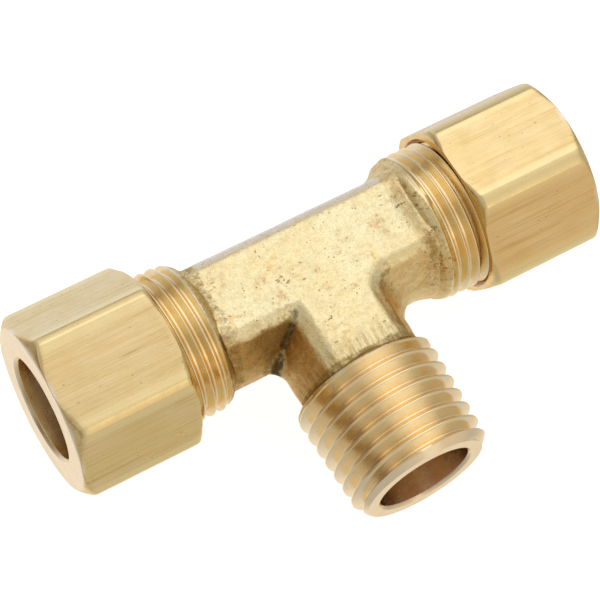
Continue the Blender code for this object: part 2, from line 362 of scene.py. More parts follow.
def run_end(name, matrix, phase, flare, rough_side):
    """One threaded end of the run with its forged flare, closed and solid; the bore is cut later."""
    depth = RUN_CREST_R - RUN_ROOT_R
    half_crest = RUN_PITCH / 16
    half_root = half_crest + depth * math.tan(math.radians(30))

    def radius(th, h):
        env = np.interp(h, flare[:, 0], flare[:, 1])
        env = np.minimum(env, RUN_CREST_R - 0.8 + (RUN_END - h) * 1.0)
        d = crest_distance(h, th, RUN_PITCH, phase)
        cut = np.clip((d - half_crest) / math.tan(math.radians(30)), 0, depth)
        start = 11.55 + (0.55 * rough_side(th) if rough_side else 0.0)
        root_env = RUN_ROOT_R + np.maximum(0, start - h) * 1.35
        return np.minimum(env, np.maximum(RUN_CREST_R - cut, root_env))

    shell = Shell()
    shell.grid(revolve_rows([9.85, 10.1, 10.35, 10.6, 10.8, 11.0], lambda t, h: radius(t, h) - 0.45 * (1 - smooth01((h - 9.85) / 0.5)), TURN))
    pts, m = helical_rows(11.0, 18.95, RUN_PITCH, phase, thread_offsets(RUN_PITCH, half_crest, half_root), radius, TURN)
    shell.grid(pts, wrap_shift=m)
    shell.grid(revolve_rows([18.95, 19.0, 19.05, 19.10], radius, TURN))
    turned_shell(shell, [(0.0, 9.85), (2.0, 9.85), (float(radius(np.array([0.0]), np.array([9.85]))[0]) - 0.45, 9.85)], TURN)
    turned_shell(shell, [(float(radius(np.array([0.0]), np.array([19.1]))[0]), 19.10), (2.0, 19.10), (0.0, 19.10)], TURN)
    return place(shell.mesh(name), matrix)


def branch_end(name):
    depth = 0.99
    half_crest = 0.085
    half_root = half_crest + depth * math.tan(math.radians(30))

    def radius(th, h):
        crest = NPT_CREST_R - (h - NPT_START) * NPT_TAPER
        env = np.minimum(np.interp(h, NECK[:, 0], NECK[:, 1] + 0.03), crest)
        env = np.minimum(env, 5.80 + (NPT_END - h) * 0.95)
        d = crest_distance(h, th, NPT_PITCH, NPT_PHASE)
        cut = np.clip((d - half_crest) / math.tan(math.radians(30)), 0, depth)
        root_env = crest - depth + np.maximum(0, 11.75 - h) * 1.5
        root_env = np.maximum(root_env, 5.82 - (NPT_END - h) * 0.5)
        return np.minimum(env, np.maximum(crest - cut, root_env))

    shell = Shell()
    shell.grid(revolve_rows([9.9, 10.1, 10.35, 10.6, 10.8, 11.0], lambda t, h: radius(t, h) - 0.45 * (1 - smooth01((h - 9.9) / 0.5)), TURN))
    pts, m = helical_rows(11.0, 21.45, NPT_PITCH, NPT_PHASE, thread_offsets(NPT_PITCH, half_crest, half_root), radius, TURN)
    shell.grid(pts, wrap_shift=m)
    shell.grid(revolve_rows([21.45, 21.5, 21.53, 21.56], radius, TURN))
    turned_shell(shell, [(0.0, 9.9), (2.0, 9.9), (float(radius(np.array([0.0]), np.array([9.9]))[0]) - 0.45, 9.9)], TURN)
    turned_shell(shell, [(float(radius(np.array([0.0]), np.array([21.56]))[0]), 21.56), (2.0, 21.56), (0.0, 21.56)], TURN)
    return place(shell.mesh(name), TO_BRANCH)


def solid_of_revolution(name, profile, matrix, steps=192):
    shell = Shell()
    turned_shell(shell, profile, np.linspace(0, 2 * math.pi, steps + 1)[:-1] + 0.003)
    return place(shell.mesh(name), matrix)


def angle_window(centre, half, soft):
    """1 inside an arc of local angle, 0 outside it, in radians."""
    def window(th):
        d = np.abs((th - centre + math.pi) % (2 * math.pi) - math.pi)
        return 1 - smooth01((d - half) / soft)
    return window


tee = linked("tee_body_visual", forged_core())
# Seen from the right end, local angle 180 degrees faces up and 270 degrees faces the branch side.
combine(tee, linked("t", run_end("r", TO_RIGHT, local_phase(RUN_CREST_PHASE, 1), FLARE_RIGHT, angle_window(math.radians(215), math.radians(70), 0.5))), "UNION")
combine(tee, linked("t", run_end("l", TO_LEFT, local_phase(RUN_CREST_PHASE, -1), FLARE_LEFT, None)), "UNION")
combine(tee, linked("t", branch_end("b")), "UNION")

half_bore = [(RUN_PASSAGE_R, TUBE_STOP), (TUBE_SOCKET_R, TUBE_STOP), (TUBE_SOCKET_R, RUN_END - 0.9), (TUBE_SOCKET_R + 1.6, RUN_END + 0.7)]
run_profile = soft_profile([(0, RUN_END + 0.7)] + [(r, h) for r, h in reversed(half_bore)] + [(r, -h) for r, h in half_bore] + [(0, -RUN_END - 0.7)], 0.05)
combine(tee, linked("t", solid_of_revolution("rb", run_profile, TO_RIGHT)), "DIFFERENCE")
branch_profile = soft_profile([(0, NPT_END + 0.6), (BRANCH_BORE_R + 0.85, NPT_END + 0.6), (BRANCH_BORE_R, NPT_END - 0.25),
                               (BRANCH_BORE_R, 8.0), (3.8, 7.6), (3.8, 0.3), (0, 0.3)], 0.05)
combine(tee, linked("t", solid_of_revolution("bb", branch_profile, TO_BRANCH)), "DIFFERENCE")


# ---------------------------------------------------------------- nuts
def sector_angles():
    half = [0, 2.5, 5, 7.5, 10, 12.5, 15, 17.5, 20, 22, 23.6, 24.8, 25.5, 25.9, 26.3, 26.7, 27.1, 27.4, 27.7, 28.0, 28.3, 28.6, 29.2, 30]
    one = sorted([-a for a in half[1:]] + half)
    return np.radians(sorted({round((60 * s + a) % 360, 4) for s in range(6) for a in one}))


def nut_mesh(name, matrix, face, turn, phase, corner_r, crown, mouth_r):
    inner = face - NUT_LENGTH
    flats = sector_angles()                      # flat normals stand at 0, 60, ... here
    angles = flats + math.radians(turn) + math.radians(30)
    off = (flats + math.pi / 6) % (math.pi / 3) - math.pi / 6
    hex_r = NUT_APOTHEM / np.cos(off)
    away = math.pi / 6 - np.abs(off)
    centre = corner_r - crown
    crowned = centre * np.cos(away) + np.sqrt(np.maximum(crown ** 2 - (centre * np.sin(away)) ** 2, 0))
    crowned = np.where(np.abs(off) > math.radians(22), crowned, 12.0)
    out = -round_max(-hex_r, -crowned, 0.035)
    slope = (8.95 - 7.77) / 0.87
    end_outer = face - np.maximum(0, out - 7.77) / slope
    slope_in = 0.95 / 0.45
    end_inner = inner + np.maximum(0, out - 8.0) / slope_in
    corner = smooth01((out - 7.82) / 0.5)
    ease = 0.05 + 0.34 * corner

    def blend(p, q, r, t):
        return (1 - t) ** 2 * p + 2 * t * (1 - t) * q + t * t * r

    rows = []
    rows.append((np.full_like(out, 7.50), np.full_like(out, face)))
    rows.append((np.full_like(out, 7.64), np.full_like(out, face)))
    rows.append((np.full_like(out, 7.695), np.full_like(out, face - 0.006)))
    turn_r = np.minimum(7.75, out - 0.05)
    rows.append((turn_r, face - np.maximum(0, turn_r - 7.71) / slope * 0.8))
    # Chamfer, then the rounded shoulder down to the side of the bar.
    dip_r, dip_h = 0.805, 0.593
    tip_r, tip_h = out - ease * dip_r, end_outer + ease * dip_h
    tip_r = np.maximum(tip_r, turn_r + 0.004)
    tip_h = np.minimum(tip_h, face - 0.010)
    rows.append(((turn_r + tip_r) / 2, (rows[-1][1] + tip_h) / 2))
    for t in (0.0, 0.25, 0.5, 0.75):
        rows.append((blend(tip_r, out, out, t), blend(tip_h, end_outer, end_outer - ease, t)))
    first_side = len(rows)
    straight = 26
    top, low = end_outer - ease, end_inner + ease
    for t in np.linspace(0, 1, straight + 2):
        rows.append((out, top * (1 - t) + low * t))
    reach = ease * (0.55 + 0.45 * corner)
    in_r = out - reach * 0.904
    in_h = np.maximum(end_inner - reach * 0.428 * corner, inner + 0.002)
    for t in (0.25, 0.5, 0.75, 1.0):
        rows.append((blend(out, out, in_r, t), blend(low, end_inner, in_h, t)))
    rows.append((np.minimum(in_r - 0.02, 8.03), np.full_like(out, inner + 0.001)))
    rows.append((np.minimum(in_r - 0.05, 7.96), np.full_like(out, inner)))
    rows.append((np.full_like(out, 7.62), np.full_like(out, inner)))
    pts = np.empty((len(angles), len(rows), 3))
    for i, (r, h) in enumerate(rows):
        pts[:, i, 0], pts[:, i, 1], pts[:, i, 2] = r * np.cos(angles), r * np.sin(angles), h
    # The bar's flats are very slightly hollow and wavy from drawing.
    outward = np.stack((np.cos(angles), np.sin(angles)), 1)
    for i in range(first_side + 1, first_side + 1 + straight):
        p = pts[:, i, :]
        wave = np.array([noise.fractal(Vector((q[0] * 0.55 + turn, q[1] * 0.55, q[2] * 0.05)), 1.0, 2.0, 2) for q in p])
        flat = smooth01((math.radians(27) - np.abs(off)) / math.radians(4))
        pts[:, i, :2] += outward * (wave * 0.012 * flat)[:, None]
    shell = Shell()
    shell.grid(pts)
    minor, major = 6.75, 7.40
    cone = face - 2.10

    def inside(th, h):
        d = crest_distance(h, th, RUN_PITCH, phase)
        r = np.clip(major - (d - RUN_PITCH / 16) / math.tan(math.radians(30)), minor, major)
        fade = smooth01((face - 4.75 - h) / 0.4)
        r = minor + (r - minor) * fade
        return np.maximum(r, 7.43 - (h - inner))

    h0, h1 = inner + 0.02, face - 4.75
    half_crest = RUN_PITCH / 16
    half_root = half_crest + (major - minor) * math.tan(math.radians(30))
    grid, m = helical_rows(h0, h1, RUN_PITCH, phase, thread_offsets(RUN_PITCH, half_crest, half_root), inside, angles)
    shell.grid(grid, wrap_shift=m)
    turned_shell(shell, [(7.62, inner), (7.44, inner), (7.41, h0)], angles)
    mouth = soft_profile([(minor, h1), (6.0, cone - 1.9), (6.0, cone - 1.15), (4.85, cone), (4.85, face - 0.30), (mouth_r, face), (7.50, face)], 0.045)
    turned_shell(shell, mouth, angles)
    return place(shell.mesh(name), matrix)


left_nut = linked("left_nut_visual", nut_mesh("left_nut_visual", TO_LEFT, LEFT_NUT_FACE, LEFT_NUT_TURN, local_phase(RUN_CREST_PHASE, -1), 8.81, 3.2, 5.18))
right_nut = linked("right_nut_visual", nut_mesh("right_nut_visual", TO_RIGHT, RIGHT_NUT_FACE, 180 - RIGHT_NUT_TURN, local_phase(RUN_CREST_PHASE, 1), 8.69, 3.4, 5.18))


# ---------------------------------------------------------------- sleeves
def sleeve_mesh(name, matrix, start):
    stop = start + 5.2
    profile = soft_profile([(4.82, start + 2.6), (4.82, stop), (5.10, stop), (5.60, stop - 1.0), (5.62, stop - 2.6), (5.60, start + 1.0),
                            (5.10, start), (4.82, start), (4.82, start + 2.6)], 0.06, 4)
    return solid_of_revolution(name, profile, matrix, 160)


left_sleeve = linked("left_sleeve_visual", sleeve_mesh("left_sleeve_visual", TO_LEFT, 18.72))
right_sleeve = linked("right_sleeve_visual", sleeve_mesh("right_sleeve_visual", TO_RIGHT, 18.87))


# ---------------------------------------------------------------- materials
class Nodes:
    """Short calls that add and link shader nodes."""

    def __init__(self, tree):
        self.tree = tree

    def add(self, kind, **settings):
        node = self.tree.nodes.new(kind)
        inputs = settings.pop("inputs", {})
        for key, value in settings.items():
            setattr(node, key, value)
        for key, value in inputs.items():
            self.set(node.inputs[key], value)
        return node

    def set(self, socket, value):
        if isinstance(value, bpy.types.NodeSocket):
            self.tree.links.new(value, socket)
        else:
            socket.default_value = value

    def math(self, op, a, b=None, c=None, clamp=False):
        node = self.add("ShaderNodeMath", operation=op, use_clamp=clamp)
        for socket, value in zip(node.inputs, (a, b, c)):
            if value is not None:
                self.set(socket, value)
        return node.outputs[0]

    def ramp(self, value, stops, interpolation="LINEAR"):
        node = self.add("ShaderNodeValToRGB")
        node.color_ramp.interpolation = interpolation
        elements = node.color_ramp.elements
        while len(elements) < len(stops):
            elements.new(0.5)
        for e, (pos, colour) in zip(elements, stops):
            e.position = pos
            e.color = (*colour, 1) if len(colour) == 3 else colour
        self.set(node.inputs[0], value)
        return node.outputs[0]

    def span(self, value, a, b, lo=0.0, hi=1.0, smooth=True):
        node = self.add("ShaderNodeMapRange", interpolation_type="SMOOTHSTEP" if smooth else "LINEAR")
        for key, v in zip(("From Min", "From Max", "To Min", "To Max"), (a, b, lo, hi)):
            node.inputs[key].default_value = v
        self.set(node.inputs["Value"], value)
        return node.outputs[0]

    def mix(self, fac, a, b, mode="MIX"):
        node = self.add("ShaderNodeMix", data_type="RGBA", blend_type=mode)
        for index, value in ((0, fac), (6, a), (7, b)):
            if isinstance(value, tuple) and len(value) == 3:
                value = (*value, 1.0)
            self.set(node.inputs[index], value)
        return node.outputs[2]

    def noise(self, vector, scale, detail=2.0, rough=0.5, distortion=0.0):
        node = self.add("ShaderNodeTexNoise", inputs={"Vector": vector, "Scale": scale, "Detail": detail, "Roughness": rough, "Distortion": distortion})
        return node.outputs["Fac"]

    def scaled(self, vector, scale, rotation=(0, 0, 0), location=(0, 0, 0)):
        node = self.add("ShaderNodeMapping", inputs={"Vector": vector, "Scale": scale, "Rotation": rotation, "Location": location})
        return node.outputs["Vector"]

    def voronoi(self, vector, scale, feature="F1", output="Distance", random=1.0):
        node = self.add("ShaderNodeTexVoronoi", feature=feature, inputs={"Vector": vector, "Scale": scale, "Randomness": random})
        return node.outputs[output]

    def bump(self, height, strength, distance, normal=None):
        node = self.add("ShaderNodeBump", inputs={"Height": height, "Strength": strength, "Distance": distance})
        if normal is not None:
            self.set(node.inputs["Normal"], normal)
        return node.outputs[0]

    def attribute(self, name):
        return self.add("ShaderNodeAttribute", attribute_name=name, attribute_type="GEOMETRY").outputs["Fac"]


def new_material(name):
    mat = bpy.data.materials.new(name)
    mat.use_nodes = True
    n = Nodes(mat.node_tree)
    bsdf = mat.node_tree.nodes["Principled BSDF"]
    bsdf.inputs["Metallic"].default_value = 1.0
    bsdf.inputs["Specular Tint"].default_value = EDGE_TINT
    coords = n.add("ShaderNodeTexCoord").outputs["Object"]
    return mat, n, bsdf, coords


GOLD = (0.97, 0.79, 0.41)
PALE = (1.0, 0.88, 0.52)
BLOND = (1.0, 0.89, 0.55)
NUT_GOLD = (0.85, 0.635, 0.285)
NUT_PALE = (0.89, 0.685, 0.345)
EDGE_TINT = (1.0, 0.87, 0.67, 1.0)
ORANGE = (0.80, 0.49, 0.17)
RUST = (0.60, 0.33, 0.13)
FLANK = (0.86, 0.64, 0.29)
FLANK_SHADE_GOLD = (0.58, 0.39, 0.135)
OLIVE = (0.42, 0.30, 0.085)
BROWN = (0.34, 0.19, 0.06)
CREASE_SHADE_DARK = (0.085, 0.050, 0.020)


def forged_material():
    """Tee body: forged skin, cut threads and turned rims, told apart by vertex masks."""
    mat, n, bsdf, co = new_material("forged_brass_surface")
    machined = n.attribute("machined")
    side = n.attribute("side")
    flank_shade = n.attribute("flank_shade")
    patina_and_shade = n.attribute("patina_and_shade")
    crease = n.attribute("crease")
    strokes = n.attribute("strokes")
    specked = n.attribute("specked")
    lit = n.attribute("lit")
    cool = n.attribute("cool")
    stained = n.attribute("stain")
    tick = n.attribute("tick")
    blanch = n.attribute("blanch")
    crest = n.attribute("crest")
    forged = n.math("SUBTRACT", 1.0, machined)
    # Colour: drifting warm and pale areas, rusty blotches, dark specks and short scratches.
    skin = n.mix(n.span(n.noise(co, 230, 3, 0.55), 0.38, 0.62), GOLD, BLOND)
    skin = n.mix(n.span(n.noise(co, 1350, 5, 0.75), 0.36, 0.64), skin, PALE)
    fine = n.noise(co, 5200, 3, 0.65)
    flank = n.mix(n.span(n.noise(co, 900, 4, 0.7), 0.35, 0.65), FLANK, GOLD)
    # Painted shade: the sides take the darker flank gold.
    skin = n.mix(side, skin, flank)
    # Painted shade: the front flanks take a deeper brown-orange.
    flank_shade_tone = n.mix(n.span(n.noise(n.scaled(co, (1, 0.35, 1)), 1500, 4, 0.7), 0.35, 0.68), FLANK_SHADE_GOLD, ORANGE)
    skin = n.mix(flank_shade, skin, flank_shade_tone)
    area = n.span(n.noise(co, 330, 3, 0.6), 0.50, 0.66)
    blotch = n.math("MULTIPLY", area, n.span(n.noise(co, 2600, 4, 0.75), 0.48, 0.62))
    skin = n.mix(n.math("MULTIPLY", blotch, 0.50), skin, RUST)
    stain = n.math("MULTIPLY", n.span(n.noise(co, 190, 3, 0.6), 0.56, 0.64), n.span(n.noise(co, 1100, 4, 0.7), 0.47, 0.60))
    skin = n.mix(n.math("MULTIPLY", stain, 0.55), skin, ORANGE)
    ring = n.math("MULTIPLY", n.span(stained, 0.25, 0.55), n.span(n.noise(co, 1700, 5, 0.78), 0.44, 0.60))
    skin = n.mix(n.math("MULTIPLY", ring, 0.62), skin, RUST)
    nick = n.noise(n.scaled(co, (0.42, 1.0, 1.0), rotation=(0, 0, -0.55)), 2600, 3, 0.6)
    nick = n.math("MULTIPLY", n.span(nick, 0.55, 0.61), n.span(tick, 0.30, 0.62))
    skin = n.mix(n.math("MULTIPLY", nick, 0.85), skin, BROWN)
    pepper = n.math("MULTIPLY", n.span(n.noise(co, 2900, 4, 0.75), 0.52, 0.60), n.span(n.noise(co, 620, 3, 0.6), 0.44, 0.58))
    skin = n.mix(n.math("MULTIPLY", n.math("MULTIPLY", pepper, specked), 0.85), skin, BROWN)
    specks = n.math("MULTIPLY", n.span(n.voronoi(co, 2100), 0.20, 0.08), n.span(n.noise(co, 520, 3, 0.6), 0.46, 0.62))
    scratch_a = n.math("MULTIPLY", n.span(n.voronoi(n.scaled(co, (0.30, 1.0, 1.0), rotation=(0, 0, 0.62)), 1750), 0.13, 0.06), n.span(n.noise(co, 410, 2, 0.5, 0.3), 0.50, 0.60))
    scratch_b = n.math("MULTIPLY", n.span(n.voronoi(n.scaled(co, (1.0, 0.28, 1.0), rotation=(0, 0, -0.35)), 1900), 0.12, 0.05), n.span(n.noise(co, 380, 2, 0.5, 1.3), 0.52, 0.62))
    marks = n.math("MAXIMUM", specks, n.math("MAXIMUM", scratch_a, scratch_b))
    skin = n.mix(n.math("MULTIPLY", marks, 0.72), skin, BROWN)
    # Painted highlight on the upper bevels.
    skin = n.mix(n.math("MULTIPLY", lit, 0.65), skin, (1.0, 0.89, 0.56))
    # Painted pale reflection on the back bevel.
    skin = n.mix(n.math("MULTIPLY", cool, 0.85), skin, (1.0, 0.88, 0.76))
    cut = n.mix(n.span(n.noise(co, 420, 3, 0.6), 0.35, 0.7), (0.91, 0.76, 0.465), (0.89, 0.69, 0.36))
    cut = n.mix(n.math("MULTIPLY", n.span(n.noise(co, 900, 4, 0.7), 0.55, 0.75), 0.30), cut, ORANGE)
    cut = n.mix(n.span(blanch, 0.0, 0.5, 0.0, 0.80, False), cut, (1.0, 0.86, 0.61))
    # Painted shade: the branch bore near its mouth turns a duller brown.
    cut = n.mix(n.span(blanch, 0.5, 1.0, 0.0, 0.85, False), cut, (0.82, 0.63, 0.46))
    # Painted highlight: the thread crests are tinted paler.
    cut = n.mix(n.math("MULTIPLY", crest, 0.75), cut, (1.0, 0.84, 0.50))
    base = n.mix(machined, skin, cut)
    # Patina and painted shade gather in the hollows with ragged edges; painted shade darkens the crease nearly black.
    cloud = n.noise(co, 1500, 7, 0.82)
    patina_shade_mix = n.span(n.math("ADD", patina_and_shade, n.math("MULTIPLY", n.math("SUBTRACT", cloud, 0.5), 2.6)), 0.15, 0.95)
    patch_colour = n.mix(n.span(n.noise(co, 2400, 3, 0.7), 0.4, 0.62), OLIVE, BROWN)
    base = n.mix(n.math("MULTIPLY", patina_shade_mix, 0.76), base, patch_colour)
    crease_shade = n.span(n.math("ADD", crease, n.math("MULTIPLY", n.math("SUBTRACT", n.noise(co, 1500, 6, 0.8), 0.5), 1.5)), 0.28, 0.80)
    base = n.mix(n.math("MULTIPLY", crease_shade, 0.80), base, CREASE_SHADE_DARK)
    shade = n.ramp(fine, [(0.36, (0.84, 0.77, 0.64)), (0.56, (1.0, 1.0, 1.0))])
    base = n.mix(n.math("MULTIPLY", forged, 0.7), base, shade, "MULTIPLY")
    dragged = n.noise(n.scaled(co, (1.0, 0.10, 1.0)), 4300, 3, 0.7)
    drag_shade = n.ramp(dragged, [(0.38, (0.66, 0.55, 0.38)), (0.56, (1.0, 1.0, 1.0))])
    base = n.mix(n.math("MULTIPLY", strokes, 0.75), base, drag_shade, "MULTIPLY")
    n.set(bsdf.inputs["Base Color"], base)
    # Roughness.
    rough = n.span(n.noise(co, 1500, 4, 0.65), 0.3, 0.7, 0.22, 0.38)
    rough = n.math("ADD", rough, n.math("MULTIPLY", side, 0.06))
    rough_cut = n.span(n.noise(co, 900, 3, 0.6), 0.3, 0.7, 0.15, 0.26)
    mixed = n.add("ShaderNodeMix", data_type="FLOAT")
    n.set(mixed.inputs[0], machined)
    n.set(mixed.inputs[2], rough)
    n.set(mixed.inputs[3], rough_cut)
    patina_and_crease = n.math("MAXIMUM", patina_shade_mix, crease_shade)
    n.set(bsdf.inputs["Roughness"], n.math("ADD", mixed.outputs[0], n.math("MULTIPLY", patina_and_crease, 0.20)))
    # Relief: satin grain, pits at the marks, drawn strokes near the branch.
    peel = n.noise(co, 1250, 5, 0.72)
    grain = n.noise(co, 5600, 3, 0.7)
    strokes_relief = dragged
    height = n.math("ADD", n.math("MULTIPLY", peel, 2.6), n.math("MULTIPLY", grain, 1.0))
    height = n.math("ADD", height, n.math("MULTIPLY", n.math("MULTIPLY", strokes_relief, strokes), 3.0))
    height = n.math("SUBTRACT", height, n.math("MULTIPLY", marks, 0.8))
    height = n.math("MULTIPLY", height, forged)
    first = n.bump(height, 1.0, 0.000028)
    cut_lines = n.noise(co, 7000, 2, 0.6)
    n.set(bsdf.inputs["Normal"], n.bump(n.math("MULTIPLY", cut_lines, machined), 0.5, 0.000006, first))
    return mat


def drawn_material():
    """Nuts: drawn hex bar with lengthwise lines on the flats and turned rings on the faces."""
    mat, n, bsdf, co = new_material("drawn_brass_surface")
    flat = n.attribute("flats")
    bore = n.attribute("bore")
    face = n.attribute("face")
    corner = n.attribute("corner")
    lines = n.noise(n.scaled(co, (0.022, 1.0, 1.0)), 4200, 5, 0.75)
    broad = n.noise(n.scaled(co, (0.04, 1, 1)), 1500, 3, 0.6)
    base = n.mix(n.span(n.noise(co, 180, 3, 0.55), 0.35, 0.65), NUT_GOLD, NUT_PALE)
    base = n.mix(n.math("MULTIPLY", n.math("MULTIPLY", n.span(broad, 0.48, 0.70), flat), 0.34), base, ORANGE)
    streak = n.ramp(lines, [(0.32, (0.80, 0.73, 0.58)), (0.50, (1.0, 1.0, 1.0)), (0.68, (1.05, 1.05, 1.08))])
    streak_area = n.span(n.noise(n.scaled(co, (0.25, 1, 1)), 420, 3, 0.6), 0.38, 0.62, 0.45, 1.0)
    base = n.mix(n.math("MULTIPLY", flat, streak_area), base, streak, "MULTIPLY")
    long_mark = n.span(n.voronoi(n.scaled(co, (0.035, 1.0, 1.0)), 1150), 0.060, 0.022)
    long_mark = n.math("MULTIPLY", long_mark, n.span(n.noise(co, 260, 2, 0.5), 0.38, 0.48))
    short = n.span(n.voronoi(n.scaled(co, (0.35, 1.0, 1.0), rotation=(0.3, 0.5, 0.4)), 1400), 0.10, 0.045)
    short = n.math("MULTIPLY", short, n.span(n.noise(co, 420, 2, 0.5, 0.8), 0.47, 0.56))
    specks = n.math("MULTIPLY", n.span(n.voronoi(co, 1300), 0.13, 0.05), n.span(n.noise(co, 300, 2, 0.5), 0.44, 0.58))
    marks = n.math("MULTIPLY", n.math("MAXIMUM", long_mark, n.math("MAXIMUM", short, specks)), flat)
    base = n.mix(n.math("MULTIPLY", marks, 0.62), base, BROWN)
    # Painted light: the bore is painted paler and pinker, more so deeper in.
    base = n.mix(bore, base, n.mix(n.span(n.noise(co, 900, 3, 0.6), 0.35, 0.65), (0.96, 0.76, 0.56), (0.90, 0.64, 0.43)))
    # Painted highlight: the rounded corners between the flats are painted a brighter gold.
    base = n.mix(n.math("MULTIPLY", corner, 0.78), base, (0.97, 0.78, 0.39))
    # Painted reflection: the end faces are painted a pale cream.
    base = n.mix(n.math("MULTIPLY", face, 0.85), base, (1.0, 0.92, 0.78))
    n.set(bsdf.inputs["Base Color"], base)
    rough = n.span(n.noise(co, 650, 4, 0.6), 0.3, 0.7, 0.19, 0.31)
    n.set(bsdf.inputs["Roughness"], n.math("ADD", rough, n.math("MULTIPLY", bore, 0.10)))
    height = n.math("SUBTRACT", n.math("MULTIPLY", lines, flat), n.math("MULTIPLY", marks, 0.6))
    dimple = n.noise(co, 2300, 3, 0.65)
    height = n.math("ADD", height, n.math("MULTIPLY", n.math("MULTIPLY", dimple, flat), 0.55))
    first = n.bump(height, 0.45, 0.00003)
    # Turned rings around the run axis on faces and bores.
    sep = n.add("ShaderNodeSeparateXYZ")
    n.set(sep.inputs[0], co)
    yy = n.math("POWER", sep.outputs["Y"], 2.0)
    zz = n.math("POWER", n.math("SUBTRACT", sep.outputs["Z"], AXIS_Z * MM), 2.0)
    radial = n.math("SQRT", n.math("ADD", yy, zz))
    rings_in = n.add("ShaderNodeCombineXYZ")
    n.set(rings_in.inputs[0], radial)
    n.set(rings_in.inputs[1], sep.outputs["X"])
    rings = n.noise(rings_in.outputs[0], 9000, 3, 0.7)
    ringed = n.math("MULTIPLY", rings, n.math("SUBTRACT", 1.0, flat))
    ringed = n.math("MULTIPLY", ringed, n.span(bore, 0.0, 1.0, 1.0, 4.0, False))
    second = n.bump(ringed, 0.25, 0.00003, first)
    dents = n.span(n.voronoi(co, 1500), 0.03, 0.16)
    dents = n.math("ADD", n.math("MULTIPLY", n.math("SUBTRACT", dents, 1.0), n.span(n.noise(co, 300, 2, 0.5), 0.52, 0.66)), 1.0)
    n.set(bsdf.inputs["Normal"], n.bump(dents, 0.35, 0.00004, second))
    return mat


def turned_material():
    """Sleeves: bright turned rings."""
    mat, n, bsdf, co = new_material("turned_brass_surface")
    sep = n.add("ShaderNodeSeparateXYZ")
    n.set(sep.inputs[0], co)
    rings_in = n.add("ShaderNodeCombineXYZ")
    n.set(rings_in.inputs[0], sep.outputs["X"])
    rings = n.noise(rings_in.outputs[0], 8000, 3, 0.7)
    base = n.mix(n.span(n.noise(co, 400, 3, 0.6), 0.35, 0.65), PALE, GOLD)
    base = n.mix(n.math("MULTIPLY", n.span(rings, 0.6, 0.8), 0.3), base, ORANGE)
    n.set(bsdf.inputs["Base Color"], base)
    n.set(bsdf.inputs["Roughness"], n.span(rings, 0.3, 0.7, 0.16, 0.28))
    n.set(bsdf.inputs["Normal"], n.bump(rings, 0.3, 0.00003))
    return mat


# ---------------------------------------------------------------- surface masks
def set_attribute(me, name, values):
    a = me.attributes.get(name) or me.attributes.new(name, "FLOAT", "POINT")
    a.data.foreach_set("value", np.asarray(values, np.float32))


def coordinates(me):
    co = np.empty(len(me.vertices) * 3)
    me.vertices.foreach_get("co", co)
    return co.reshape(-1, 3)


# Handling marks on the upper pad: x, y, size, and 1 for a nick or 0 for a stain.
STAINS = ((-5.2, -0.3, 0.55, 0), (-4.2, -2.5, 0.5, 0), (0.0, -1.8, 0.45, 0), (2.3, -0.9, 0.5, 0), (6.9, 0.0, 0.85, 0), (7.2, -1.4, 0.4, 0), (2.0, -4.7, 0.4, 0),
          (-3.6, -1.0, 0.45, 1), (-3.1, -1.4, 0.35, 1), (-4.2, 0.0, 0.35, 1), (-1.3, -0.6, 0.35, 1), (-1.8, -4.8, 0.45, 1), (-1.6, -6.2, 0.4, 1),
          (0.2, -0.1, 0.3, 1), (3.5, -0.8, 0.45, 1), (7.6, 0.9, 0.3, 1), (-9.4, 0.9, 0.5, 1), (9.6, 0.3, 0.6, 1), (8.8, -3.9, 0.4, 1))


